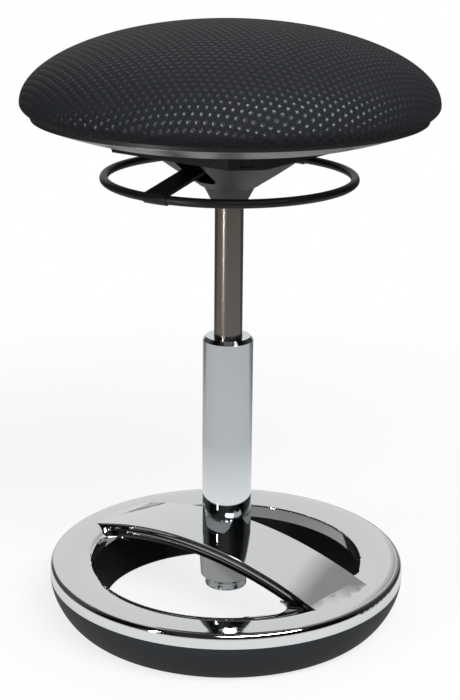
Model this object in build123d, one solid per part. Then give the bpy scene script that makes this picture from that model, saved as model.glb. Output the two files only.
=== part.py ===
from build123d import *
from math import atan2, cos, degrees, radians, sin, sqrt, tan

# Round stool: a polished cast ring on a rocker shell, a gas-lift column with a swivel bearing,
# a ring-shaped release and a domed upholstered seat.
# Millimetres, +Z up. The origin is on the column's axis, on the floor.

# Clearances between pieces
fit_gap = 0.05
run_gap = 0.06
lay_gap = 0.4

# Cast ring: radii, and heights from the floor
ring_r = 180.5
opening_r = 138.3
ring_split_z = 43.2
band_h = 8.8
edge_round = 6.0
crown_rise = 1.3
inner_drop = 4.0
inner_round = 2.0
inner_wall_h = 12.0
cast_wall = 4.5

# Arched bridge across the ring, and the hub under it
bridge_turn = -42.0
bridge_half_w = 40.1
bridge_top_z = 83.6
bridge_crown = 0.8
bridge_blend_r = 71.0
landing_out = 5.0
landing_sink = 0.2
bridge_depth = 15.0
bridge_skin = 6.0
bridge_side = 6.0
lip_round = 1.5
lip_h = 3.2
side_scoop = 4.5
side_foot_in = 2.5
corner_r = 19.0
corner_h = 4.0
hub_top_r = 28.5
hub_foot_r = 26.0
hub_foot_z = 33.0
hub_chamfer = 4.5

# Rocker shell
shell_wall = 3.0
foot_outer_r = 153.0
foot_inner_r = 129.4
hole_r = 126.4
bowl_pull = 0.4
shell_screw_count = 6
shell_screw_circle_r = 146.0
screw_turn = 30.0
post_r = 7.5
post_web = 4.0
boss_r = 6.5
boss_foot_z = 36.0
shell_screw_r = 2.5
shell_screw_head_r = 4.6
shell_screw_head_h = 3.2
shell_screw_grip = 14.0
shell_head_room = 0.7

# Stand tube and guide bush
tube_r = 25.0
tube_wall = 2.0
tube_top_z = 293.3
tube_chamfer_in = 2.8
tube_chamfer_h = 3.9
tube_lip = 5.0
tube_lip_room = 0.4
tube_end_r = 21.2
tube_end_h = 9.0
tube_foot_z = 26.0
punch_count = 8
punch_r = 2.7
punch_z = 29.7
punch_turn = 28.5
stake_w = 6.0
stake_h = 5.4
stake_depth = 0.5
bush_len = 82.0

# Thrust bearing, buffer and rod in the tube's lower end
floor_inset = 0.8
floor_h = 6.2
race_in_r = 6.5
race_out_r = 15.0
race_h = 1.6
ball_r = 2.4
ball_count = 12
cage_h = 1.6
cage_rim = 1.0
buffer_r = 12.5
buffer_h = 8.0
rod_r = 5.0
rod_tail_r = 4.0
rod_tail_drop = 5.5
rod_washer_r = 8.5
rod_washer_h = 1.4
clip_h = 1.3
clip_r = 7.0
clip_groove_r = 3.2
clip_mouth_w = 6.4

# Gas cylinder and valve; its top hangs below the release bar's level
lift_stroke = 130.0
cyl_r = 14.0
cyl_wall = 2.0
cyl_foot_room = 5.0
cyl_top_drop = 11.0
cyl_top_r = 12.95
neck_r = 11.0
neck_h = 24.0
guide_len = 14.5
guide_inset = 0.5
piston_room = 3.5
piston_h = 10.0
piston_ring_h = 3.0
piston_ring_depth = 1.8
rivet_r = 5.6
rivet_h = 1.8
valve_inset = 0.5
pin_r = 3.5
pin_nose_r = 1.6
pin_dome = 0.5
pin_len = 20.0
pin_room = 4.0

# Taper hub, release bar and ring
hub_r = 18.6
socket_drop = 6.0
lever_turn = 237.0
bar_w = 24.0
bar_t = 3.0
bar_top_z = 473.0
bar_bend = 38.0
slot_side = 0.5
slot_drop = 5.5
ring_wire_r = 4.2
lever_ring_r = 120.4
ring_drop = 21.0
curl_t = 1.1

# Funnel cover; its levels hang from the release bar's
funnel_wall = 2.0
funnel_foot_room = 3.8
funnel_foot_h = 13.1
funnel_waist_room = 6.1
waist_drop = 29.9
funnel_step_out = 4.0
funnel_step_h = 1.9
funnel_lip_out = 3.6
funnel_lip_h = 2.6
funnel_mid_r = 58.5
funnel_mid_drop = 8.0
funnel_top_r = 84.0
funnel_top_rise = 3.4
funnel_slot_rise = 8.9
funnel_slot_round = 8.0
funnel_slot_side = 0.9
collar_h = 2.5

# Seat carrier, its bolts and tee nuts
carrier_turn = 232.5
carrier_half = 91.7
carrier_cut = 23.4
carrier_t = 3.0
carrier_skirt_h = 20.9
carrier_rise = 28.5
carrier_slot_w = 8.0
carrier_slot_h = 2.4
carrier_slot_rise = 6.5
bolt_half = 60.0
bolt_r = 4.0
bolt_head_r = 7.5
bolt_head_h = 5.3
nut_barrel_r = 5.0
nut_flange_r = 10.0
nut_flange_h = 1.2

# Pan, board and cushion
pan_t = 3.0
pan_floor_r = 126.0
pan_foot_r = 148.0
pan_foot_drop = 4.0
pan_r = 189.0
pan_rim_rise = 13.3
pan_rim_t = 2.0
pan_band_h = 4.2
pan_band_in = 0.3
pan_bulge = 0.4
board_r = 152.0
board_t = 13.0
pan_screw_count = 6
pan_screw_circle_r = 120.0
pan_screw_r = 1.75
pan_screw_head_r = 3.6
pan_screw_head_h = 2.0
pan_screw_bite = 8.0
seat_r = 198.5
seat_widest_rise = 7.8
seat_rise = 74.3
crown_pull = 112.0
shoulder_pull = 38.0
hem_r = 190.5
hem_belly = 1.6
cover_t = 2.5

# Worked-out levels and radii that several pieces share
band_top_z = ring_split_z + band_h
ring_crown_z = band_top_z + edge_round + crown_rise
inner_edge_z = ring_crown_z - inner_drop
wall_foot_z = inner_edge_z - inner_round - inner_wall_h
bridge_edge_z = bridge_top_z - bridge_crown
bridge_foot_z = bridge_edge_z - bridge_depth
landing_r = (opening_r + ring_r) / 2 + landing_out
landing_z = ring_crown_z - landing_sink
bridge_slope = 2 * atan2(bridge_top_z - landing_z, landing_r)
bridge_arch_r = landing_r / sin(bridge_slope) - bridge_blend_r
cyl_top_z = bar_top_z - cyl_top_drop
lever_ring_z = bar_top_z - ring_drop
funnel_waist_z = bar_top_z - waist_drop
funnel_mid_z = bar_top_z - funnel_mid_drop
carrier_top_z = bar_top_z + carrier_rise
carrier_skirt_z = carrier_top_z - carrier_skirt_h
funnel_top_z = carrier_skirt_z + funnel_top_rise
pan_rim_z = carrier_top_z + pan_rim_rise
tube_bore_r = tube_r - tube_wall
tube_end_bore_r = tube_end_r - tube_wall
taper_foot_z = tube_foot_z + tube_end_h
floor_foot_z = tube_foot_z + floor_inset
floor_top_z = floor_foot_z + floor_h
ball_z = floor_top_z + race_h + ball_r
ball_circle_r = (race_in_r + race_out_r) / 2
upper_race_z = ball_z + ball_r + fit_gap
bearing_top_z = upper_race_z + race_h
buffer_top_z = bearing_top_z + buffer_h
cyl_foot_z = buffer_top_z + cyl_foot_room + lift_stroke
cyl_bore_r = cyl_r - cyl_wall
guide_top_z = cyl_foot_z + guide_inset + guide_len
piston_z = guide_top_z + piston_room
socket_foot_z = funnel_waist_z - socket_drop
funnel_foot_r = cyl_r + funnel_foot_room
funnel_waist_r = hub_r + funnel_waist_room
funnel_step_r = funnel_waist_r + funnel_step_out
funnel_lip_r = funnel_step_r + funnel_lip_out
pin_top_z = bar_top_z - bar_t - fit_gap
hub_bore_r = cyl_top_r + fit_gap
carrier_under_z = carrier_top_z - carrier_t
board_foot_z = carrier_top_z + pan_t
board_top_z = board_foot_z + board_t
hem_z = board_top_z - cover_t
seat_widest_z = board_top_z + seat_widest_rise


def point(r, z):
    """A point of a turned outline, at radius r and height z."""
    return (r, 0, z)


def run(*points):
    """Straight edges through points given as (radius, height)."""
    return [Line(point(*a), point(*b)) for a, b in zip(points, points[1:])]


def bend(a, b, c):
    """An arc through three points given as (radius, height)."""
    return ThreePointArc(point(*a), point(*b), point(*c))


def sweep_out(a, pull_a, pull_b, b):
    """A smooth curve between two points, with the two pull points of its ends."""
    return Bezier(point(*a), point(*pull_a), point(*pull_b), point(*b))


def turned(edges):
    """A solid of revolution about the column's axis, from the edges of a closed outline."""
    return revolve(make_face(edges), Axis.Z)


def turned_points(*points):
    """A solid of revolution from a closed outline of straight edges."""
    return turned(run(*points, points[0]))


def rod(r, z0, z1):
    """An upright cylinder on the axis."""
    return Pos(0, 0, z0) * Cylinder(r, z1 - z0, align=(Align.CENTER, Align.CENTER, Align.MIN))


def sleeve(r_in, r_out, z0, z1):
    """An upright ring on the axis."""
    return turned_points((r_in, z0), (r_out, z0), (r_out, z1), (r_in, z1))


def around(count, radius, start=0.0):
    """Places evenly spaced on a circle about the axis."""
    step = 360 / count
    return [Rot(0, 0, start + i * step) * Pos(radius, 0, 0) for i in range(count)]


def block(x0, x1, y0, y1, z0, z1):
    """A box between its low and high corners."""
    low = (Align.MIN, Align.MIN, Align.MIN)
    return Pos(x0, y0, z0) * Box(x1 - x0, y1 - y0, z1 - z0, align=low)


def save(node, *solids):
    """Write one piece, or a group of like pieces, under its name."""
    shape = solids[0] if len(solids) == 1 else Compound(children=list(solids))
    export_step(shape, f"parts/{node}.step")


def corner_round(centre_r, centre_z, radius, angle):
    """The middle point of a rounded corner, seen from its centre."""
    return (centre_r + radius * cos(radians(angle)), centre_z + radius * sin(radians(angle)))


def cast_ring():
    """The ring's section, turned: a crowned channel, open below."""
    round_top = (ring_r - edge_round, band_top_z + edge_round)
    inner_top = (opening_r + inner_round, inner_edge_z)
    inner_side = (opening_r, inner_edge_z - inner_round)
    crown = ((round_top[0] + inner_top[0]) / 2, ring_crown_z)
    edges = run((ring_r, ring_split_z), (ring_r, band_top_z))
    edge_mid = corner_round(ring_r - edge_round, band_top_z, edge_round, 45)
    edges.append(bend((ring_r, band_top_z), edge_mid, round_top))
    edges.append(bend(round_top, crown, inner_top))
    edges.append(bend(inner_top, corner_round(inner_top[0], inner_side[1], inner_round, 135), inner_side))
    edges += run(
        inner_side,
        (opening_r, wall_foot_z),
        (opening_r + cast_wall, wall_foot_z),
        (opening_r + cast_wall, band_top_z),
        (ring_r - cast_wall, band_top_z),
        (ring_r - cast_wall, ring_split_z),
        (ring_r, ring_split_z),
    )
    return turned(edges)


def bridge_section():
    """The bridge's section at the column: a crowned top, rounded lips, scooped sides, hollow below."""
    half, edge = bridge_half_w, bridge_edge_z
    foot_y = half - side_foot_in
    lip_z = edge - lip_h
    scoop_y = half - side_scoop
    scoop_z = (lip_z + bridge_foot_z) / 2
    pocket_y = foot_y - bridge_side
    pocket_z = edge - bridge_skin
    round_y, round_z = corner_round(half - lip_round, edge - lip_round, lip_round, 45)

    def at(y, z):
        return (0, y, z)

    edges = [ThreePointArc(at(lip_round - half, edge), at(0, bridge_top_z), at(half - lip_round, edge))]
    for side in (1, -1):
        lip_top = at(side * (half - lip_round), edge)
        lip_side = at(side * half, edge - lip_round)
        lip_foot = at(side * half, lip_z)
        foot = at(side * foot_y, bridge_foot_z)
        pocket_foot = at(side * pocket_y, bridge_foot_z)
        edges.append(ThreePointArc(lip_top, at(side * round_y, round_z), lip_side))
        edges.append(Line(lip_side, lip_foot))
        edges.append(ThreePointArc(lip_foot, at(side * scoop_y, scoop_z), foot))
        edges.append(Line(foot, pocket_foot))
        edges.append(Line(pocket_foot, at(side * pocket_y, pocket_z)))
    edges.append(Line(at(-pocket_y, pocket_z), at(pocket_y, pocket_z)))
    return make_face(edges)


def bridge_arch():
    """The bridge along X: an arch whose ends curve back and land level on the ring's crown."""
    slope = degrees(bridge_slope)
    arch_axis = Axis((0, 0, bridge_top_z - bridge_arch_r), (0, 1, 0))
    section = bridge_section()
    arch = revolve(section, arch_axis, 2 * slope).rotate(arch_axis, -slope)
    landing_axis = Axis((landing_r, 0, landing_z + bridge_blend_r), (0, -1, 0))
    landing = revolve(section.rotate(arch_axis, slope), landing_axis, slope)
    return arch + landing + Rot(0, 0, 180) * landing


def opening_corners():
    """Fillings that round the openings' corners at the bridge, level with the ring's inner edge."""
    wall_y = bridge_half_w - side_foot_in
    centre_y = wall_y + corner_r
    centre_x = sqrt((opening_r - corner_r) ** 2 - centre_y**2)

    def opening(r, y):
        return Circle(r) & Pos(0, y + r) * Rectangle(2 * r, 2 * r)

    rounded = fillet(opening(opening_r, wall_y).vertices(), corner_r)
    filling = opening(opening_r + inner_round, wall_y - fit_gap) - rounded
    filling = filling - Rectangle(2 * centre_x, 2 * opening_r + 4 * inner_round)
    filled = extrude(Pos(0, 0, inner_edge_z - corner_h) * filling, corner_h)
    side_z = inner_edge_z - inner_round
    edge_r = corner_r + inner_round
    above_z = inner_edge_z + inner_round
    edge_mid = corner_round(edge_r, side_z, inner_round, 135)
    cut_edges = [bend((corner_r, side_z), edge_mid, (edge_r, inner_edge_z))]
    cut_edges += run((edge_r, inner_edge_z), (edge_r, above_z), (corner_r, above_z), (corner_r, side_z))
    edge_cut = turned(cut_edges)
    for x in (-centre_x, centre_x):
        filled -= Pos(x, centre_y, 0) * edge_cut
    return filled + Rot(0, 0, 180) * filled


def tube_outer(grow):
    """The stand tube's outside from its foot to the taper's top, grown by a clearance."""
    return [
        (tube_end_r + grow, tube_foot_z - grow),
        (tube_end_r + grow, taper_foot_z),
        (tube_r + grow, bridge_top_z + grow),
    ]


screw_places = around(shell_screw_count, shell_screw_circle_r, bridge_turn + screw_turn)
base = cast_ring()
for place in screw_places:
    base += place * rod(boss_r, boss_foot_z, band_top_z + inner_round)
base += Rot(0, 0, bridge_turn) * (bridge_arch() + opening_corners())
base += turned_points(
    (0, hub_foot_z),
    (hub_foot_r - hub_chamfer, hub_foot_z),
    (hub_foot_r, hub_foot_z + hub_chamfer),
    (hub_top_r, bridge_edge_z - bridge_skin),
    (hub_top_r, bridge_edge_z - lip_round),
    (0, bridge_edge_z - lip_round),
)
for place in screw_places:
    base -= place * rod(shell_screw_r + fit_gap, boss_foot_z, boss_foot_z + shell_screw_grip + lay_gap)
bore_tip = (tube_r + fit_gap, bridge_top_z + edge_round)
base -= turned_points((0, tube_foot_z), *tube_outer(fit_gap), bore_tip, (0, bridge_top_z + edge_round))
save("base_ring", base)


def bowl_side(r_top, z_foot):
    """The shell's swelling side, from the ring's joint down to its foot."""
    drop = ring_split_z - z_foot
    return sweep_out(
        (r_top, ring_split_z),
        (r_top, ring_split_z - bowl_pull * drop),
        (foot_outer_r + bowl_pull * (r_top - foot_outer_r), z_foot),
        (foot_outer_r, z_foot),
    )


shell_edges = [bowl_side(ring_r, 0), bowl_side(ring_r - shell_wall, shell_wall)]
shell_edges += run(
    (foot_outer_r, 0),
    (foot_inner_r, 0),
    (hole_r, foot_inner_r - hole_r),
    (opening_r, wall_foot_z),
    (opening_r + shell_wall, wall_foot_z),
    (foot_inner_r + shell_wall / 2, shell_wall),
    (foot_outer_r, shell_wall),
)
shell_edges += run((ring_r - shell_wall, ring_split_z), (ring_r, ring_split_z))
shell = turned(shell_edges)
head_seat_z = boss_foot_z - post_web
for place in screw_places:
    shell += place * rod(post_r, shell_wall / 2, boss_foot_z)
for place in screw_places:
    shell -= place * rod(shell_screw_head_r + shell_head_room, 0, head_seat_z)
    shell -= place * rod(shell_screw_r + fit_gap, 0, boss_foot_z)
    shell -= place * rod(boss_r + fit_gap, boss_foot_z, wall_foot_z)
save("rocker_shell", shell)

shell_screw = rod(shell_screw_r, head_seat_z, boss_foot_z + shell_screw_grip)
shell_screw += rod(shell_screw_head_r, head_seat_z - shell_screw_head_h, head_seat_z)
shell_screw -= Pos(0, 0, head_seat_z - shell_screw_head_h) * extrude(
    RegularPolygon(shell_screw_r, 6), shell_screw_head_h / 2
)
save("shell_screws", *[place * shell_screw for place in screw_places])

lip_hole_r = cyl_r + tube_lip_room
tube = turned_points(
    *tube_outer(0),
    (tube_r, tube_top_z - tube_chamfer_h),
    (tube_r - tube_chamfer_in, tube_top_z),
    (lip_hole_r, tube_top_z),
    (lip_hole_r, tube_top_z - tube_lip),
    (tube_bore_r, tube_top_z - tube_lip),
    (tube_bore_r, bridge_top_z),
    (tube_end_bore_r, taper_foot_z),
    (tube_end_bore_r, tube_foot_z),
)
punch = Pos(0, 0, punch_z) * Rot(0, 90, 0) * Cylinder(punch_r, 2 * tube_wall)
stake = Pos(0, 0, punch_z) * Box(2 * stake_depth, stake_w, stake_h)
for place in around(punch_count, tube_end_r - tube_wall / 2, punch_turn):
    tube -= place * punch
for place in around(punch_count, tube_end_r, punch_turn + 180 / punch_count):
    tube -= place * stake
save("stand_tube", tube)

bush_top_z = tube_top_z - tube_lip
save("guide_bush", sleeve(cyl_r + run_gap, tube_bore_r - fit_gap, bush_top_z - bush_len, bush_top_z))

save("tube_floor", sleeve(rod_tail_r + run_gap, tube_end_bore_r - fit_gap, floor_foot_z, floor_top_z))
save("bearing_lower_race", sleeve(race_in_r, race_out_r, floor_top_z, floor_top_z + race_h))
ball_places = around(ball_count, ball_circle_r)
save("bearing_balls", *[place * Pos(0, 0, ball_z) * Sphere(ball_r) for place in ball_places])
cage_reach = ball_r + cage_rim
cage = sleeve(
    ball_circle_r - cage_reach, ball_circle_r + cage_reach, ball_z - cage_h / 2, ball_z + cage_h / 2
)
for place in ball_places:
    cage -= place * rod(ball_r + fit_gap, ball_z - cage_h, ball_z + cage_h)
save("bearing_cage", cage)
save("bearing_upper_race", sleeve(race_in_r, race_out_r, upper_race_z, bearing_top_z))
save("rubber_buffer", sleeve(rod_r + fit_gap, buffer_r, bearing_top_z, buffer_top_z))

washer_top_z = floor_foot_z - run_gap
clip_top_z = washer_top_z - rod_washer_h
rod_foot_z = floor_foot_z - rod_tail_drop
piston_top_z = piston_z + piston_h
save(
    "piston_rod",
    turned_points(
        (0, rod_foot_z),
        (rod_tail_r, rod_foot_z),
        (rod_tail_r, clip_top_z - clip_h),
        (clip_groove_r, clip_top_z - clip_h),
        (clip_groove_r, clip_top_z),
        (rod_tail_r, clip_top_z),
        (rod_tail_r, bearing_top_z),
        (rod_r, bearing_top_z),
        (rod_r, piston_z),
        (rod_tail_r, piston_z),
        (rod_tail_r, piston_top_z),
        (rivet_r, piston_top_z),
        (rivet_r, piston_top_z + rivet_h),
        (0, piston_top_z + rivet_h),
    ),
)
save("rod_washer", sleeve(rod_tail_r + fit_gap, rod_washer_r, clip_top_z, washer_top_z))
clip = sleeve(clip_groove_r + fit_gap, clip_r, clip_top_z - clip_h, clip_top_z)
clip -= block(0, clip_r, -clip_mouth_w / 2, clip_mouth_w / 2, clip_top_z - clip_h, clip_top_z)
save("rod_clip", clip)

ring_z = piston_z + (piston_h - piston_ring_h) / 2
groove_r = cyl_bore_r - piston_ring_depth
piston = sleeve(rod_tail_r + fit_gap, cyl_bore_r - 2 * run_gap, piston_z, piston_top_z)
piston -= sleeve(groove_r, cyl_r, ring_z, ring_z + piston_ring_h)
save("piston", piston)
save("piston_ring", sleeve(groove_r + fit_gap, cyl_bore_r - run_gap, ring_z, ring_z + piston_ring_h))

neck_z = cyl_top_z - neck_h
save(
    "gas_cylinder",
    turned_points(
        (cyl_bore_r, cyl_foot_z),
        (cyl_r, cyl_foot_z),
        (cyl_r, socket_foot_z),
        (cyl_top_r, cyl_top_z),
        (neck_r, cyl_top_z),
        (neck_r, neck_z),
        (cyl_bore_r, neck_z),
    ),
)
save("rod_guide", sleeve(rod_r + run_gap, cyl_bore_r - fit_gap, cyl_foot_z + guide_inset, guide_top_z))

valve_top_z = cyl_top_z - valve_inset
pin_foot_z = pin_top_z - pin_len
valve = rod(neck_r - fit_gap, neck_z, valve_top_z)
valve -= rod(pin_r + run_gap, pin_foot_z - pin_room, valve_top_z)
save("valve_body", valve)
pin_side_z = pin_top_z - pin_dome
save(
    "release_pin",
    turned_points(
        (0, pin_foot_z),
        (pin_r, pin_foot_z),
        (pin_r, pin_side_z),
        (pin_nose_r, pin_top_z),
        (0, pin_top_z),
    ),
)

bar_half = bar_w / 2
slot_half = bar_half + slot_side
socket = turned_points(
    (cyl_r + fit_gap, socket_foot_z),
    (hub_r, socket_foot_z),
    (hub_r, carrier_under_z),
    (hub_bore_r, carrier_under_z),
    (hub_bore_r, cyl_top_z),
)
socket -= Rot(0, 0, lever_turn) * block(
    -2 * hub_r, 2 * hub_r, -slot_half, slot_half, bar_top_z - bar_t - slot_drop, bar_top_z + fit_gap
)
save("taper_hub", socket)

curl_r = ring_wire_r + curl_t
bar_end_z = lever_ring_z + curl_r
bar_line = [
    (-lever_ring_r, bar_end_z),
    (-bar_bend, bar_top_z),
    (bar_bend, bar_top_z),
    (lever_ring_r, bar_end_z),
]
bar_outline = bar_line + [(x, z - bar_t) for x, z in reversed(bar_line)]
bar = extrude(make_face(run(*bar_outline, bar_outline[0])), bar_half, both=True)
curl_spread = degrees(bar_w / lever_ring_r)
curl_centre = Pos(lever_ring_r, 0, lever_ring_z) * Rot(90, 0, 0)
curl = revolve(curl_centre * Circle(curl_r), Axis.Z, curl_spread)
for end in (0, 180):
    bar += Rot(0, 0, end - curl_spread / 2) * curl
bar -= Pos(0, 0, lever_ring_z) * Torus(lever_ring_r, ring_wire_r + fit_gap)
save("lever_bar", Rot(0, 0, lever_turn) * bar)
save("lever_ring", Pos(0, 0, lever_ring_z) * Torus(lever_ring_r, ring_wire_r))


def funnel_side(inset):
    """The funnel's outer or inner side, from its foot to its top rim."""
    step_z = funnel_waist_z + funnel_step_h
    lip_z = step_z + funnel_lip_h
    edges = run(
        (funnel_foot_r - inset, funnel_waist_z - funnel_foot_h),
        (funnel_waist_r - inset, funnel_waist_z),
        (funnel_step_r - inset, step_z),
        (funnel_lip_r - inset, lip_z),
    )
    top = (funnel_top_r - inset, funnel_top_z)
    edges.append(bend((funnel_lip_r - inset, lip_z), (funnel_mid_r - inset, funnel_mid_z), top))
    return edges


funnel_edges = funnel_side(0) + funnel_side(funnel_wall)
funnel_foot_z = funnel_waist_z - funnel_foot_h
funnel_edges += run((funnel_foot_r, funnel_foot_z), (funnel_foot_r - funnel_wall, funnel_foot_z))
funnel_edges += run((funnel_top_r, funnel_top_z), (funnel_top_r - funnel_wall, funnel_top_z))
funnel = turned(funnel_edges)
funnel += sleeve(hub_r + fit_gap, funnel_waist_r - funnel_wall / 2, funnel_waist_z, funnel_waist_z + collar_h)
funnel_slot_half = slot_half + funnel_slot_side
slot_foot_z = funnel_waist_z + funnel_slot_rise
slot_h = carrier_top_z - slot_foot_z
slot_shape = fillet(Rectangle(2 * funnel_slot_half, 2 * slot_h).vertices(), funnel_slot_round)
slot_plane = Plane(origin=(0, 0, slot_foot_z + slot_h), x_dir=(0, 1, 0), z_dir=(1, 0, 0))
funnel_slot = extrude(slot_plane * slot_shape, 2 * funnel_top_r)
for end in (0, 180):
    funnel -= Rot(0, 0, lever_turn + end) * funnel_slot
save("cover_funnel", funnel)

outline = chamfer(Rectangle(2 * carrier_half, 2 * carrier_half).vertices(), carrier_cut)
inner_half = carrier_half - carrier_t
inner_cut = carrier_cut - carrier_t * (2 - 2 * tan(radians(22.5)))
inside = chamfer(Rectangle(2 * inner_half, 2 * inner_half).vertices(), inner_cut)
carrier = extrude(Pos(0, 0, carrier_skirt_z) * outline, carrier_top_z - carrier_skirt_z)
carrier -= extrude(Pos(0, 0, carrier_skirt_z) * inside, carrier_under_z - carrier_skirt_z)
bolt_places = [Pos(x, y, 0) for x in (-bolt_half, bolt_half) for y in (-bolt_half, bolt_half)]
for place in bolt_places:
    carrier -= place * rod(bolt_r + lay_gap, carrier_under_z, carrier_top_z)
corner_r_mid = (carrier_half - carrier_cut / 2) * 2**0.5
slot_face = SlotOverall(carrier_slot_w, carrier_slot_h)
slot_cut = extrude(Rot(90, 0, 90) * slot_face, 2 * carrier_t, both=True)
for place in around(4, corner_r_mid, 45):
    carrier -= place * Pos(0, 0, carrier_skirt_z + carrier_slot_rise) * slot_cut
carrier_place = Rot(0, 0, carrier_turn)
save("seat_carrier", carrier_place * carrier)

nut_seat_z = board_top_z - nut_flange_h
bolt = rod(bolt_r, carrier_under_z, nut_seat_z)
bolt += extrude(Pos(0, 0, carrier_under_z - bolt_head_h) * RegularPolygon(bolt_head_r, 6), bolt_head_h)
nut = sleeve(bolt_r + fit_gap, nut_barrel_r, board_foot_z, nut_seat_z)
nut += sleeve(bolt_r + fit_gap, nut_flange_r, nut_seat_z, board_top_z)
save("carrier_bolts", *[carrier_place * place * bolt for place in bolt_places])
save("tee_nuts", *[carrier_place * place * nut for place in bolt_places])

pan_foot_z = carrier_top_z - pan_foot_drop
pan_band_foot = (pan_r - pan_band_in, pan_rim_z - pan_band_h)
pan_mid_r = (pan_foot_r + pan_band_foot[0]) / 2 + pan_bulge
pan_mid = (pan_mid_r, (pan_foot_z + pan_band_foot[1]) / 2 - pan_bulge)
pan_inner_foot = (pan_foot_r, pan_foot_z + pan_t)
pan_inner_band = (pan_band_foot[0] - pan_rim_t, pan_band_foot[1] + pan_rim_t / 2)
pan_inner_mid = (pan_mid[0] - pan_rim_t / 2, pan_mid[1] + pan_rim_t)
pan_edges = run((0, carrier_top_z), (pan_floor_r, carrier_top_z), (pan_foot_r, pan_foot_z))
pan_edges.append(bend((pan_foot_r, pan_foot_z), pan_mid, pan_band_foot))
pan_edges += run(pan_band_foot, (pan_r, pan_rim_z), (pan_r - pan_rim_t, pan_rim_z), pan_inner_band)
pan_edges.append(bend(pan_inner_band, pan_inner_mid, pan_inner_foot))
pan_edges += run(pan_inner_foot, (pan_floor_r, board_foot_z), (0, board_foot_z), (0, carrier_top_z))
pan = turned(pan_edges)
pan_screw_places = around(pan_screw_count, pan_screw_circle_r)
for place in bolt_places:
    pan -= carrier_place * place * rod(bolt_r + lay_gap, carrier_top_z, board_foot_z)
for place in pan_screw_places:
    pan -= place * rod(pan_screw_r + fit_gap, carrier_top_z, board_foot_z)
save("seat_pan", pan)

pan_screw_top_z = board_foot_z + pan_screw_bite
board = rod(board_r, board_foot_z, board_top_z)
for place in bolt_places:
    board -= carrier_place * place * rod(nut_barrel_r + fit_gap, board_foot_z, board_top_z)
    board -= carrier_place * place * rod(nut_flange_r + fit_gap, nut_seat_z, board_top_z)
for place in pan_screw_places:
    board -= place * rod(pan_screw_r + fit_gap, board_foot_z, pan_screw_top_z + fit_gap)
save("seat_board", board)
pan_screw = rod(pan_screw_r, carrier_top_z, pan_screw_top_z)
pan_screw += rod(pan_screw_head_r, carrier_top_z - pan_screw_head_h, carrier_top_z)
save("pan_screws", *[place * pan_screw for place in pan_screw_places])


def cushion_side(inset, foot):
    """The cushion's crown and drawn-in side, from the top's middle to a foot point."""
    widest = (seat_r - inset, seat_widest_z)
    top_z = seat_widest_z + seat_rise - inset
    crown = sweep_out(
        (0, top_z), (crown_pull - inset, top_z), (widest[0], seat_widest_z + shoulder_pull - inset / 2), widest
    )
    belly = ((widest[0] + foot[0]) / 2 + hem_belly, (seat_widest_z + foot[1]) / 2)
    return [crown, bend(widest, belly, foot)]


foam_foot = (hem_r - cover_t, board_top_z)
foam_edges = cushion_side(cover_t, foam_foot)
foam_edges += run(foam_foot, (0, board_top_z), (0, seat_widest_z + seat_rise - cover_t))
save("seat_foam", turned(foam_edges))
hem_in_r = board_r + lay_gap
cover_edges = cushion_side(0, (hem_r, hem_z)) + cushion_side(cover_t, foam_foot)
cover_edges += run((hem_r, hem_z), (hem_in_r, hem_z), (hem_in_r, board_top_z), foam_foot)
cover_edges += run((0, seat_widest_z + seat_rise), (0, seat_widest_z + seat_rise - cover_t))
save("seat_cover", turned(cover_edges))
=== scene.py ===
import bmesh
import bpy
from math import ceil, hypot, radians, sqrt
from mathutils import Matrix, Vector
from mathutils.geometry import interpolate_bezier


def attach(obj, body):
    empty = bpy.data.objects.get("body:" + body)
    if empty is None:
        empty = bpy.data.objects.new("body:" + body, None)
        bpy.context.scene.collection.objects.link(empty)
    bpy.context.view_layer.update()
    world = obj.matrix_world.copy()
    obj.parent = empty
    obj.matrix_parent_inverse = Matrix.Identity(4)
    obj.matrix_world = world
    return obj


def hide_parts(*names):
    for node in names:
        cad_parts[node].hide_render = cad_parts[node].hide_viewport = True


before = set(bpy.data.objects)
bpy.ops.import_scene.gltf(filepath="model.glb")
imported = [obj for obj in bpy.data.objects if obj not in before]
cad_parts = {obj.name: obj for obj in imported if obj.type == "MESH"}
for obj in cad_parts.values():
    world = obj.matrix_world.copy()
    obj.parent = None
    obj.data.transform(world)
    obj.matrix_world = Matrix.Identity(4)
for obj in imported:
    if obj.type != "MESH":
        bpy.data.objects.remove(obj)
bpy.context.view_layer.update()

# The base casting: a ring with an arched bridge and a hub below it, die cast in
# aluminium, ground and polished to a mirror. The stand tube's taper sits in its hub.
haze_mm = 18
haze_roughness = (0.035, 0.085)


def linear(hex_colour):
    """An sRGB hex colour as linear RGBA."""
    channels = [int(hex_colour[i : i + 2], 16) / 255 for i in (1, 3, 5)]
    return [c / 12.92 if c <= 0.04045 else ((c + 0.055) / 1.055) ** 2.4 for c in channels] + [1.0]


def add_node(tree, kind, inputs, **settings):
    """Add a node; each input takes a constant or another node's output."""
    node = tree.nodes.new(kind)
    for name, value in settings.items():
        setattr(node, name, value)
    for socket, value in inputs.items():
        if isinstance(value, bpy.types.NodeSocket):
            tree.links.new(value, node.inputs[socket])
        else:
            node.inputs[socket].default_value = value
    return node


def per_mm(size_mm):
    """The texture scale, per metre, whose features are about this size."""
    return 1000 / size_mm


def new_finish(name, colour, **sockets):
    """A material whose principled shader has these constants; returns it, its nodes and that shader."""
    material = bpy.data.materials.new(name)
    material.use_nodes = True
    shader = material.node_tree.nodes["Principled BSDF"]
    shader.inputs["Base Color"].default_value = linear(colour)
    for socket, value in sockets.items():
        shader.inputs[socket.replace("_", " ")].default_value = value
    return material, material.node_tree, shader


def dress(material, *names):
    """Give CAD nodes a finish on all of their material slots."""
    for name in names:
        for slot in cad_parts[name].material_slots:
            slot.material = material


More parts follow.
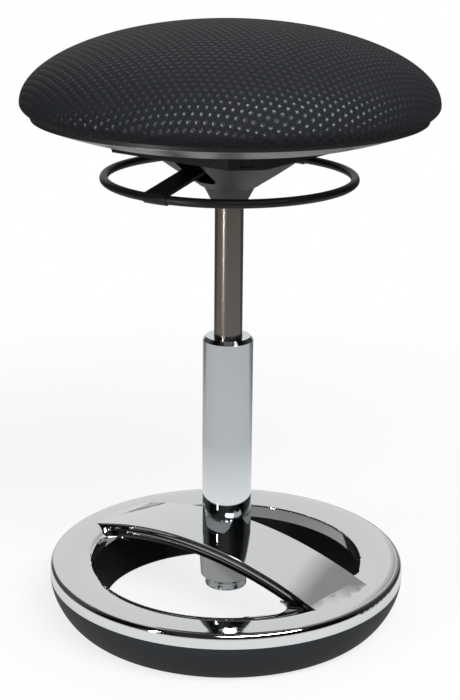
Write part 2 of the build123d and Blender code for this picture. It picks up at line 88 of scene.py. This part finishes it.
# Polished aluminium: a mirror with a faint cloudy haze left by the buffing wheel.
aluminium, tree, shader = new_finish("polished_cast_aluminium", "#dcdedf", Metallic=1.0)
place = add_node(tree, "ShaderNodeTexCoord", {})
haze = add_node(
    tree, "ShaderNodeTexNoise",
    {"Vector": place.outputs["Object"], "Scale": per_mm(haze_mm), "Detail": 3.0},
)
haze_range = add_node(
    tree, "ShaderNodeMapRange",
    {"Value": haze.outputs["Fac"], "To Min": haze_roughness[0], "To Max": haze_roughness[1]},
)
tree.links.new(haze_range.outputs["Result"], shader.inputs["Roughness"])
dress(aluminium, "base_ring")

# The rocker shell: a swelling bowl moulded in black ABS, screwed up under the
# casting with six screws. Its flat foot stands on the floor.
shell_outside = "#2b2e31"
# Painted shade: the near-black colour of the bowl's inside.
shell_inside_painted_shade = "#060707"
spark_grain_mm = 0.9
spark_grain_depth = 0.0002
# Moulded ABS: an even, fine spark-eroded grain that breaks the highlight.
shell_plastic, tree, shader = new_finish(
    "grained_black_abs", shell_outside, Roughness=0.55, Specular_IOR_Level=0.22
)
place = add_node(tree, "ShaderNodeTexCoord", {})
grain = add_node(
    tree, "ShaderNodeTexNoise",
    {"Vector": place.outputs["Object"], "Scale": per_mm(spark_grain_mm), "Detail": 2.0},
)
grain_bump = add_node(
    tree, "ShaderNodeBump",
    {"Height": grain.outputs["Fac"], "Strength": 0.12, "Distance": spark_grain_depth},
)
tree.links.new(grain_bump.outputs["Normal"], shader.inputs["Normal"])
# The inside of the bowl is painted near black: painted shade, where little light reaches.
level = add_node(
    tree, "ShaderNodeVectorMath", {0: place.outputs["Object"], 1: (1, 1, 0)}, operation="MULTIPLY"
)
outward = add_node(
    tree, "ShaderNodeVectorMath",
    {0: level.outputs["Vector"], 1: place.outputs["Normal"]}, operation="DOT_PRODUCT",
)
inside = add_node(tree, "ShaderNodeMath", {0: outward.outputs["Value"], 1: 0.0}, operation="LESS_THAN")
sides_mix = add_node(
    tree, "ShaderNodeMix",
    {"Factor": inside.outputs["Value"], "A": linear(shell_outside), "B": linear(shell_inside_painted_shade)},
    data_type="RGBA",
)
tree.links.new(sides_mix.outputs[2], shader.inputs["Base Color"])
dress(shell_plastic, "rocker_shell")

# Small steel fasteners and fittings: screws, bolts, tee nuts, the washer and the clip,
# with the tube's floor disc, the valve and its pin. They are cold formed or turned, and
# zinc plated.
plating_mm = 3
plating_roughness = (0.22, 0.4)
# Zinc plate: a pale grey metal, its shine clouded in patches.
zinc, tree, shader = new_finish("zinc_plated_steel", "#b9bbbd", Metallic=1.0)
place = add_node(tree, "ShaderNodeTexCoord", {})
plating = add_node(
    tree, "ShaderNodeTexNoise",
    {"Vector": place.outputs["Object"], "Scale": per_mm(plating_mm), "Detail": 4.0},
)
plating_range = add_node(
    tree, "ShaderNodeMapRange",
    {"Value": plating.outputs["Fac"], "To Min": plating_roughness[0], "To Max": plating_roughness[1]},
)
tree.links.new(plating_range.outputs["Result"], shader.inputs["Roughness"])
dress(zinc, "shell_screws", "tube_floor", "rod_washer", "rod_clip", "valve_body", "release_pin")
dress(zinc, "carrier_bolts", "tee_nuts", "pan_screws")

# The stand tube: drawn steel tube, chrome plated, with a tapered lower end pressed
# into the hub and a rolled-in rim at the top.
smear_mm = 30
smear_roughness = (0.02, 0.05)
# Chrome plate: a clean, slightly blue mirror.
chrome, tree, shader = new_finish("chrome_plate", "#dbe1e4", Metallic=1.0)
place = add_node(tree, "ShaderNodeTexCoord", {})
smear = add_node(
    tree, "ShaderNodeTexNoise",
    {"Vector": place.outputs["Object"], "Scale": per_mm(smear_mm), "Detail": 2.0},
)
smear_range = add_node(
    tree, "ShaderNodeMapRange",
    {"Value": smear.outputs["Fac"], "To Min": smear_roughness[0], "To Max": smear_roughness[1]},
)
tree.links.new(smear_range.outputs["Result"], shader.inputs["Roughness"])
dress(chrome, "stand_tube")

# The thrust bearing and the piston rod: races and balls of hardened, ground steel on
# the tube's floor, and the ground rod that stands on them and carries the seat.
grinding_mm = 6
grinding_roughness = (0.14, 0.24)
# Ground bearing steel: bright, with faint level lines left by the wheel.
bearing_steel, tree, shader = new_finish("ground_bearing_steel", "#a9abad", Metallic=1.0)
place = add_node(tree, "ShaderNodeTexCoord", {})
lines = add_node(
    tree, "ShaderNodeTexWave",
    {"Vector": place.outputs["Object"], "Scale": per_mm(grinding_mm), "Distortion": 2.0},
    bands_direction="Z",
)
lines_range = add_node(
    tree, "ShaderNodeMapRange",
    {"Value": lines.outputs["Fac"], "To Min": grinding_roughness[0], "To Max": grinding_roughness[1]},
)
tree.links.new(lines_range.outputs["Result"], shader.inputs["Roughness"])
dress(bearing_steel, "bearing_lower_race", "bearing_balls", "bearing_upper_race", "piston_rod")

# The plastic pieces in the column: the bush that guides the cylinder, the bearing's
# cage, the piston with its ring, and the rod's guide, moulded or turned in acetal.
acetal_pale = "#dedbd2"
acetal_dull = "#d4d0c5"
cloud_mm = 8
# Natural acetal: milky, slightly waxy.
acetal, tree, shader = new_finish("natural_acetal", acetal_pale, Roughness=0.38, IOR=1.48)
place = add_node(tree, "ShaderNodeTexCoord", {})
cloud = add_node(
    tree, "ShaderNodeTexNoise",
    {"Vector": place.outputs["Object"], "Scale": per_mm(cloud_mm), "Detail": 2.0},
)
cloud_mix = add_node(
    tree, "ShaderNodeMix",
    {"Factor": cloud.outputs["Fac"], "A": linear(acetal_pale), "B": linear(acetal_dull)},
    data_type="RGBA",
)
tree.links.new(cloud_mix.outputs[2], shader.inputs["Base Color"])
dress(acetal, "guide_bush", "bearing_cage", "piston", "piston_ring", "rod_guide")

# The buffer: a ring moulded in black rubber that lies on the bearing round the rod,
# a soft end stop for the cylinder.
rubber_dark = "#19191a"
rubber_bloomed = "#252526"
bloom_mm = 6
# Black rubber: dull, with a bloom that lightens it in patches.
rubber, tree, shader = new_finish("black_rubber", rubber_dark, Roughness=0.7, IOR=1.52)
place = add_node(tree, "ShaderNodeTexCoord", {})
bloom = add_node(
    tree, "ShaderNodeTexNoise",
    {"Vector": place.outputs["Object"], "Scale": per_mm(bloom_mm), "Detail": 4.0},
)
bloom_mix = add_node(
    tree, "ShaderNodeMix",
    {"Factor": bloom.outputs["Fac"], "A": linear(rubber_dark), "B": linear(rubber_bloomed)},
    data_type="RGBA",
)
tree.links.new(bloom_mix.outputs[2], shader.inputs["Base Color"])
dress(rubber, "rubber_buffer")

# The gas cylinder: centreless-ground steel that slides in the stand tube's bush. Its
# tapered upper end is pressed into the hub under the seat.
ring_spacing_mm = 0.6
ring_length_mm = 40
ring_roughness = (0.22, 0.235)
# Ground steel: fine rings round the cylinder, too fine to show, drawn 0.6 mm apart.
cylinder_steel, tree, shader = new_finish("centreless_ground_steel", "#7f7973", Metallic=1.0)
place = add_node(tree, "ShaderNodeTexCoord", {})
flatten = add_node(
    tree, "ShaderNodeMapping",
    {
        "Vector": place.outputs["Object"],
        "Scale": (per_mm(ring_length_mm), per_mm(ring_length_mm), per_mm(ring_spacing_mm)),
    },
)
rings = add_node(
    tree, "ShaderNodeTexNoise", {"Vector": flatten.outputs["Vector"], "Scale": 1.0, "Detail": 3.0}
)
rings_range = add_node(
    tree, "ShaderNodeMapRange",
    {"Value": rings.outputs["Fac"], "To Min": ring_roughness[0], "To Max": ring_roughness[1]},
)
tree.links.new(rings_range.outputs["Result"], shader.inputs["Roughness"])
dress(cylinder_steel, "gas_cylinder")

# The taper hub, seat carrier and release: steel in a black satin powder coat. The
# release is a wire ring, gripped by the curled ends of a flat bar that presses the valve.
peel_mm = 1.6
peel_depth = 0.0003
# Powder coat: a soft orange-peel skin.
powder_coat, tree, shader = new_finish(
    "black_powder_coat", "#121314", Roughness=0.4, Specular_IOR_Level=0.35
)
place = add_node(tree, "ShaderNodeTexCoord", {})
peel = add_node(
    tree, "ShaderNodeTexNoise",
    {"Vector": place.outputs["Object"], "Scale": per_mm(peel_mm), "Detail": 1.0},
)
peel_bump = add_node(
    tree, "ShaderNodeBump", {"Height": peel.outputs["Fac"], "Strength": 0.15, "Distance": peel_depth}
)
tree.links.new(peel_bump.outputs["Normal"], shader.inputs["Normal"])
dress(powder_coat, "taper_hub", "lever_bar", "lever_ring", "seat_carrier")

# The funnel cover: moulded in grained dark grey polypropylene, it hides the hub and
# the valve, and has a slot each side for the release bar.
cell_grain_mm = 1.1
cell_grain_depth = 0.0003
# Moulded polypropylene: a cell-like grain that leaves only a soft, broken shine.
funnel_plastic, tree, shader = new_finish("grained_polypropylene", "#3d3f42", Roughness=0.5, IOR=1.49)
place = add_node(tree, "ShaderNodeTexCoord", {})
grain = add_node(
    tree, "ShaderNodeTexVoronoi", {"Vector": place.outputs["Object"], "Scale": per_mm(cell_grain_mm)}
)
grain_bump = add_node(
    tree, "ShaderNodeBump",
    {"Height": grain.outputs["Distance"], "Strength": 0.2, "Distance": cell_grain_depth},
)
tree.links.new(grain_bump.outputs["Normal"], shader.inputs["Normal"])
dress(funnel_plastic, "cover_funnel")

# The seat pan: a shallow dish pressed from sheet steel, satin nickel plated, that
# closes the cushion from below and is clamped between the carrier and the board.
nickel_grey = "#9a9a99"
satin_mm = 1.2
satin_roughness = (0.32, 0.38)
black_rim_colour = "#0e0f10"
black_rim_foot_z = 0.5108
black_rim_dullness = 0.06
# Satin nickel: a soft grey mirror, its polish slightly uneven.
pan_nickel, tree, shader = new_finish("satin_nickel_plate", nickel_grey, Metallic=1.0)
place = add_node(tree, "ShaderNodeTexCoord", {})
satin = add_node(
    tree, "ShaderNodeTexNoise",
    {"Vector": place.outputs["Object"], "Scale": per_mm(satin_mm), "Detail": 2.0},
)
satin_range = add_node(
    tree, "ShaderNodeMapRange",
    {"Value": satin.outputs["Fac"], "To Min": satin_roughness[0], "To Max": satin_roughness[1]},
)
# Above this height the upright rim is black and not metallic, which shows as a dark line under the cushion.
height_parts = add_node(tree, "ShaderNodeSeparateXYZ", {"Vector": place.outputs["Object"]})
black_rim = add_node(
    tree, "ShaderNodeMath", {0: height_parts.outputs["Z"], 1: black_rim_foot_z}, operation="GREATER_THAN"
)
bare = add_node(tree, "ShaderNodeMath", {0: 1.0, 1: black_rim.outputs["Value"]}, operation="SUBTRACT")
black_rim_mix = add_node(
    tree, "ShaderNodeMix",
    {"Factor": black_rim.outputs["Value"], "A": linear(nickel_grey), "B": linear(black_rim_colour)},
    data_type="RGBA",
)
rim_roughness = add_node(
    tree, "ShaderNodeMath",
    {0: black_rim.outputs["Value"], 1: black_rim_dullness, 2: satin_range.outputs["Result"]},
    operation="MULTIPLY_ADD",
)
tree.links.new(black_rim_mix.outputs[2], shader.inputs["Base Color"])
tree.links.new(bare.outputs["Value"], shader.inputs["Metallic"])
tree.links.new(rim_roughness.outputs["Value"], shader.inputs["Roughness"])
dress(pan_nickel, "seat_pan")

# The seat board: a disc sawn from birch plywood and drilled. The tee nuts are driven
# into it, the carrier and the pan are bolted to it, and the foam lies on it.
birch_pale = "#d4b68a"
birch_streak = "#b08c5c"
streak_mm = (60, 4, 1.4)
# Birch plywood: pale and dull, with long brown streaks along the grain.
plywood, tree, shader = new_finish("birch_plywood", birch_pale, Roughness=0.6)
place = add_node(tree, "ShaderNodeTexCoord", {})
along_grain = add_node(
    tree, "ShaderNodeMapping",
    {"Vector": place.outputs["Object"], "Scale": [per_mm(size) for size in streak_mm]},
)
figure = add_node(
    tree, "ShaderNodeTexNoise", {"Vector": along_grain.outputs["Vector"], "Scale": 1.0, "Detail": 3.0}
)
figure_mix = add_node(
    tree, "ShaderNodeMix",
    {"Factor": figure.outputs["Fac"], "A": linear(birch_pale), "B": linear(birch_streak)},
    data_type="RGBA",
)
tree.links.new(figure_mix.outputs[2], shader.inputs["Base Color"])
dress(plywood, "seat_board")

# The cushion: moulded foam on the board under a black knitted spacer fabric, drawn
# tight over the dome and tucked in above the pan. The knit has rows of round dimples.
seat_r = 0.1985
seat_top_z = 0.5996
widest_z = 0.5253
crown_pull = 0.112
shoulder_pull = 0.038
crown_steps = 160
hem_r = 0.1905
hem_z = 0.515
tuck_r = 0.168
belly_pull = 0.005
belly_steps = 24
dimple_pitch = 0.0078
dimple_r = 0.0022
dimple_floor_r = 0.0007
dimple_depth = 0.001
row_turn = radians(-8)
knit_dark = "#101215"
knit_light = "#202327"
loop_mm = 0.9
loop_depth = 0.0004
yarn_mm = 1.4
pressed_dark = "#101214"
pressed_light = "#1d2023"
pressed_yarn_mm = 1.0

# The cushion's side as one smooth line, from the crown to the hem.
crown_line = interpolate_bezier(
    Vector((0, 0, seat_top_z)), Vector((crown_pull, 0, seat_top_z)),
    Vector((seat_r, 0, widest_z + shoulder_pull)), Vector((seat_r, 0, widest_z)), crown_steps,
)
belly_line = interpolate_bezier(
    Vector((seat_r, 0, widest_z)), Vector((seat_r, 0, widest_z - belly_pull)),
    Vector((hem_r + belly_pull / 2, 0, hem_z + belly_pull / 2)), Vector((hem_r, 0, hem_z)), belly_steps,
)
side_line = crown_line + belly_line[1:]
reach = [0.0]
for near, far in zip(side_line, side_line[1:]):
    reach.append(reach[-1] + (far - near).length)


def lay_on_dome(point):
    """Lay a point of the flat cloth on the cushion, at its distance from the crown."""
    distance = min(hypot(point.x, point.y), reach[-1])
    i = min(range(len(reach) - 1), key=lambda k: abs(reach[k] - distance))
    i = i - 1 if i and reach[i] > distance else i
    share = (distance - reach[i]) / (reach[i + 1] - reach[i])
    spot = side_line[i].lerp(side_line[i + 1], share)
    along = (side_line[i + 1] - side_line[i]).normalized()
    spot += point.z * Vector((-along.z, 0, along.x))
    turn = Vector((point.x, point.y)).normalized() if distance else Vector((1, 0))
    return Vector((spot.x * turn.x, spot.x * turn.y, spot.z))


# The flat cloth: a grid whose cells merge in pairs like bricks. Every second corner then
# moves up and every other one down by a sixth of a row, which makes the bricks hexagons.
row_step = dimple_pitch * sqrt(3) / 2
half_pitch = dimple_pitch / 2
corner_shift = row_step / 6
columns = 2 * ceil(reach[-1] / dimple_pitch) + 2
rows = 2 * ceil(reach[-1] / row_step) + 2
width, height = columns * dimple_pitch, rows * row_step
cloth = bmesh.new()
bmesh.ops.create_grid(cloth, x_segments=2 * columns, y_segments=rows, size=1.0)
bmesh.ops.scale(cloth, vec=(width / 2, height / 2, 1), verts=cloth.verts)
joints = []
for edge in cloth.edges:
    a, b = edge.verts
    upright = abs(a.co.x - b.co.x) < half_pitch / 2
    column = round((a.co.x + width / 2) / half_pitch)
    row = round(((a.co.y + b.co.y) / 2 + height / 2) / row_step - 0.5)
    if upright and (column + row) % 2 and len(edge.link_faces) == 2:
        joints.append(edge)
for vert in cloth.verts:
    column = round((vert.co.x + width / 2) / half_pitch)
    row = round((vert.co.y + height / 2) / row_step)
    vert.co.y += corner_shift * (-1 if (column + row) % 2 else 1)
bmesh.ops.dissolve_edges(cloth, edges=joints, use_verts=False)
outside = [f for f in cloth.faces if min(hypot(v.co.x, v.co.y) for v in f.verts) > reach[-1]]
bmesh.ops.delete(cloth, geom=outside, context="FACES")

# Each cell gets a round dimple, and the cloth is turned, laid on the dome and tucked in.
cells = list(cloth.faces)
bmesh.ops.inset_individual(cloth, faces=cells, thickness=half_pitch - dimple_r, depth=0.0)
rims = list({edge for face in cells for edge in face.edges})
bmesh.ops.bisect_edges(cloth, edges=rims, cuts=1)
for face in cells:
    centre = face.calc_center_median()
    for vert in face.verts:
        vert.co = centre + dimple_r * (vert.co - centre).normalized()
walls = bmesh.ops.inset_individual(
    cloth, faces=cells, thickness=dimple_r - dimple_floor_r, depth=-dimple_depth
)["faces"]
bmesh.ops.rotate(cloth, verts=cloth.verts, cent=(0, 0, 0), matrix=Matrix.Rotation(row_turn, 3, "Z"))
for vert in cloth.verts:
    vert.co = lay_on_dome(vert.co)
for face in cells + walls:
    if face.calc_center_median().z > widest_z:
        face.material_index = 1
hem = [e for e in cloth.edges if e.is_boundary]
tuck = bmesh.ops.extrude_edge_only(cloth, edges=hem)["geom"]
tuck_verts = [g for g in tuck if isinstance(g, bmesh.types.BMVert)]
bmesh.ops.scale(cloth, vec=(tuck_r / hem_r, tuck_r / hem_r, 1), verts=tuck_verts)
bmesh.ops.holes_fill(cloth, edges=[e for e in cloth.edges if e.is_boundary], sides=0)
bmesh.ops.recalc_face_normals(cloth, faces=cloth.faces)
cushion_mesh = bpy.data.meshes.new("seat_cushion")
cloth.to_mesh(cushion_mesh)
cloth.free()
cushion_mesh.shade_smooth()
cushion = bpy.data.objects.new("seat_cushion", cushion_mesh)
bpy.context.collection.objects.link(cushion)

# Knitted spacer fabric: matt black yarn with a soft sheen, in small raised loops.
knit, tree, shader = new_finish(
    "black_spacer_knit", knit_dark,
    Roughness=0.8, Specular_IOR_Level=0.2, Sheen_Weight=0.02, Sheen_Roughness=0.4,
)
place = add_node(tree, "ShaderNodeTexCoord", {})
loops = add_node(
    tree, "ShaderNodeTexVoronoi", {"Vector": place.outputs["Object"], "Scale": per_mm(loop_mm)}
)
yarn = add_node(
    tree, "ShaderNodeTexNoise",
    {"Vector": place.outputs["Object"], "Scale": per_mm(yarn_mm), "Detail": 3.0},
)
yarn_mix = add_node(
    tree, "ShaderNodeMix",
    {"Factor": yarn.outputs["Fac"], "A": linear(knit_dark), "B": linear(knit_light)},
    data_type="RGBA",
)
tree.links.new(yarn_mix.outputs[2], shader.inputs["Base Color"])
loops_bump = add_node(
    tree, "ShaderNodeBump", {"Height": loops.outputs["Distance"], "Strength": 0.5, "Distance": loop_depth}
)
tree.links.new(loops_bump.outputs["Normal"], shader.inputs["Normal"])

# The dimples' floors and walls: the same knit pressed smooth, so they catch more light.
pressed_knit, tree, shader = new_finish(
    "pressed_spacer_knit", pressed_dark, Roughness=0.41, Specular_IOR_Level=0.65
)
place = add_node(tree, "ShaderNodeTexCoord", {})
yarn = add_node(
    tree, "ShaderNodeTexNoise",
    {"Vector": place.outputs["Object"], "Scale": per_mm(pressed_yarn_mm), "Detail": 3.0},
)
yarn_mix = add_node(
    tree, "ShaderNodeMix",
    {"Factor": yarn.outputs["Fac"], "A": linear(pressed_dark), "B": linear(pressed_light)},
    data_type="RGBA",
)
tree.links.new(yarn_mix.outputs[2], shader.inputs["Base Color"])
cushion_mesh.materials.append(knit)
cushion_mesh.materials.append(pressed_knit)
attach(cushion, "seat")
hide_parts("seat_cover", "seat_foam")

# The studio's floor: a wide board painted matt white. To the camera it is plain white
# with a light shadow round the stool, and it throws only a little light back up.
floor_size = 8.0
floor_white = "#f6f6f6"
floor_bounce = "#7c7c7c"
shadow_share = 0.2
shadow_reach = (0.3, 1.2)
# What the metal mirrors of it is painted light, from one distance to the next and from one level to the next:
# a painted shadow under the stool, bright round it, dimmer outside that, and nearly black far off.
painted_shadow_zone = (0.12, 0.26, 0.28, 0.92)
beyond_zone = (0.3, 0.5, 0.92, 0.52)
far_zone = (2.1, 2.6, 1.0, 0.1)
# The mirrored corners behind the stool get painted shade too, away from a middle line.
corner_depth_y = (0.25, 0.6)
corner_middle_x = -0.15
corner_width_x = (0.15, 0.5)
corner_painted_shade = 0.7
board = bmesh.new()
bmesh.ops.create_grid(board, x_segments=1, y_segments=1, size=floor_size / 2)
floor_mesh = bpy.data.meshes.new("studio_floor")
board.to_mesh(floor_mesh)
board.free()
floor = bpy.data.objects.new("studio_floor", floor_mesh)
bpy.context.collection.objects.link(floor)

# Matt white paint: an even white without shine.
floor_paint, tree, shader = new_finish("white_floor", floor_white, Roughness=0.9)
rays = add_node(tree, "ShaderNodeLightPath", {})
bounce = add_node(
    tree, "ShaderNodeMix",
    {"Factor": rays.outputs["Is Diffuse Ray"], "A": linear(floor_white), "B": linear(floor_bounce)},
    data_type="RGBA",
)
tree.links.new(bounce.outputs[2], shader.inputs["Base Color"])
seen = 0.0
for kind in ("Is Glossy Ray", "Is Transmission Ray", "Is Camera Ray"):
    seen = add_node(tree, "ShaderNodeMath", {0: seen, 1: rays.outputs[kind]}, operation="MAXIMUM").outputs[0]
place = add_node(tree, "ShaderNodeTexCoord", {})
away = add_node(tree, "ShaderNodeVectorMath", {0: place.outputs["Object"]}, operation="LENGTH")
unshaded = add_node(
    tree, "ShaderNodeMapRange",
    {
        "Value": away.outputs["Value"], "From Min": shadow_reach[0], "From Max": shadow_reach[1],
        "To Min": 1 - shadow_share, "To Max": 1.0,
    },
)
share = add_node(tree, "ShaderNodeMath", {0: seen, 1: unshaded.outputs["Result"]}, operation="MULTIPLY")
# The painted levels the floor glows at for mirror rays: a painted shadow under the stool, brighter round it,
# then dimmer.
under, beyond, far_off = [
    add_node(
        tree, "ShaderNodeMapRange",
        {
            "Value": away.outputs["Value"], "From Min": start, "From Max": stop,
            "To Min": start_level, "To Max": stop_level,
        },
    ).outputs["Result"]
    for start, stop, start_level, stop_level in (painted_shadow_zone, beyond_zone, far_zone)
]
floor_parts = add_node(tree, "ShaderNodeSeparateXYZ", {"Vector": place.outputs["Object"]})
# Painted shade on the mirrored corners behind the stool.
behind = add_node(
    tree, "ShaderNodeMapRange",
    {"Value": floor_parts.outputs["Y"], "From Min": corner_depth_y[0], "From Max": corner_depth_y[1]},
)
off_middle = add_node(
    tree, "ShaderNodeMath", {0: floor_parts.outputs["X"], 1: -corner_middle_x}, operation="ADD"
)
off_middle = add_node(tree, "ShaderNodeMath", {0: off_middle.outputs["Value"]}, operation="ABSOLUTE")
aside = add_node(
    tree, "ShaderNodeMapRange",
    {
        "Value": off_middle.outputs["Value"], "From Min": corner_width_x[0], "From Max": corner_width_x[1],
        "To Max": corner_painted_shade,
    },
)
corner = add_node(
    tree, "ShaderNodeMath", {0: behind.outputs["Result"], 1: aside.outputs["Result"]}, operation="MULTIPLY"
)
kept = add_node(tree, "ShaderNodeMath", {0: 1.0, 1: corner.outputs["Value"]}, operation="SUBTRACT")
mirrored = add_node(tree, "ShaderNodeMath", {0: under, 1: beyond}, operation="MINIMUM").outputs["Value"]
for level in (kept.outputs["Value"], far_off):
    dimmer = add_node(tree, "ShaderNodeMath", {0: mirrored, 1: level}, operation="MULTIPLY")
    mirrored = dimmer.outputs["Value"]
# The floor glows: full white to the camera, and at these painted levels to mirror rays.
glow = add_node(tree, "ShaderNodeMath", {0: mirrored, 1: rays.outputs["Is Camera Ray"]}, operation="MAXIMUM")
lit = add_node(tree, "ShaderNodeEmission", {"Color": (1, 1, 1, 1), "Strength": glow.outputs["Value"]})
mixed = add_node(
    tree, "ShaderNodeMixShader", {0: share.outputs["Value"], 1: shader.outputs[0], 2: lit.outputs[0]}
)
tree.links.new(mixed.outputs[0], tree.nodes["Material Output"].inputs["Surface"])
floor_mesh.materials.append(floor_paint)

# The studio's lamps and room: a wide softbox above the camera, to its right, a large soft
# lamp overhead that the metal doesn't mirror, and a narrow strip lamp at the front left.
# The room is white behind the stool and dark behind the camera.
fill_strength = 0.3
# The mirrored room, along one axis from one direction to the next and from one level to the next.
room_zones = (
    ("Y", -0.1, 0.35, 0.03, 0.8),
    ("X", 0.2, 0.27, 1.0, 0.4),
    ("X", 0.4, 0.6, 1.0, 0.15),
    ("X", -0.55, -0.42, 0.1, 1.0),
)


def add_lamp(name, watts, width, height, spot, target):
    """A soft rectangular lamp that faces a point."""
    lamp = bpy.data.lights.new(name, "AREA")
    lamp.energy = watts
    lamp.shape = "RECTANGLE"
    lamp.size = width
    lamp.size_y = height
    holder = bpy.data.objects.new(name, lamp)
    holder.location = spot
    holder.rotation_euler = (Vector(target) - Vector(spot)).to_track_quat("-Z", "Y").to_euler()
    bpy.context.collection.objects.link(holder)
    return holder


add_lamp("key_softbox", watts=52, width=1.8, height=0.42, spot=(0.7, -1.45, 1.95), target=(0, 0, 0.5))
overhead = add_lamp(
    "overhead_softbox", watts=8, width=2.4, height=2.0, spot=(0.2, 0.9, 2.4), target=(0, 0, 0.3)
)
overhead.visible_glossy = False
add_lamp("left_strip", watts=7, width=0.06, height=0.85, spot=(-1.0, -1.1, 0.45), target=(0, 0, 0.4))
world = bpy.data.worlds.new("studio")
world.use_nodes = True
tree = world.node_tree
tree.nodes.clear()
rays = add_node(tree, "ShaderNodeLightPath", {})
look = add_node(tree, "ShaderNodeTexCoord", {})
look_parts = add_node(tree, "ShaderNodeSeparateXYZ", {"Vector": look.outputs["Generated"]})
room = 1.0
for axis, start, stop, start_level, stop_level in room_zones:
    zone = add_node(
        tree, "ShaderNodeMapRange",
        {
            "Value": look_parts.outputs[axis], "From Min": start, "From Max": stop,
            "To Min": start_level, "To Max": stop_level,
        },
    )
    darker = add_node(tree, "ShaderNodeMath", {0: room, 1: zone.outputs["Result"]}, operation="MULTIPLY")
    room = darker.outputs["Value"]
seen_room = add_node(tree, "ShaderNodeMath", {0: room, 1: rays.outputs["Is Camera Ray"]}, operation="MAXIMUM")
seen = 0.0
for kind in ("Is Glossy Ray", "Is Transmission Ray", "Is Camera Ray"):
    seen = add_node(tree, "ShaderNodeMath", {0: seen, 1: rays.outputs[kind]}, operation="MAXIMUM").outputs[0]
white = add_node(
    tree, "ShaderNodeBackground", {"Color": (1, 1, 1, 1), "Strength": seen_room.outputs["Value"]}
)
fill = add_node(tree, "ShaderNodeBackground", {"Color": (1, 1, 1, 1), "Strength": fill_strength})
choice = add_node(tree, "ShaderNodeMixShader", {0: seen, 1: fill.outputs[0], 2: white.outputs[0]})
add_node(tree, "ShaderNodeOutputWorld", {"Surface": choice.outputs[0]})
scene = bpy.context.scene
scene.world = world
scene.view_settings.view_transform = "Standard"

# The camera: a long lens in front of the stool, a little above the seat and tipped down.
# Its place, tilt and lens were fitted to the stool's outline in the photograph.
lens_mm = 83.66
sensor_mm = 36
camera_spot = (0.0, -1.5373, 0.7629)
pitch_down = radians(17.504)
yaw = radians(0.075)
roll = radians(0.55)
camera_data = bpy.data.cameras.new("photo_camera")
camera_data.sensor_width = sensor_mm
camera_data.lens = lens_mm
camera = bpy.data.objects.new("photo_camera", camera_data)
tilt = Matrix.Rotation(radians(90) - pitch_down, 4, "X")
aim = Matrix.Rotation(-yaw, 4, "Z") @ tilt @ Matrix.Rotation(roll, 4, "Z")
camera.matrix_world = Matrix.Translation(camera_spot) @ aim
bpy.context.collection.objects.link(camera)
scene.camera = camera
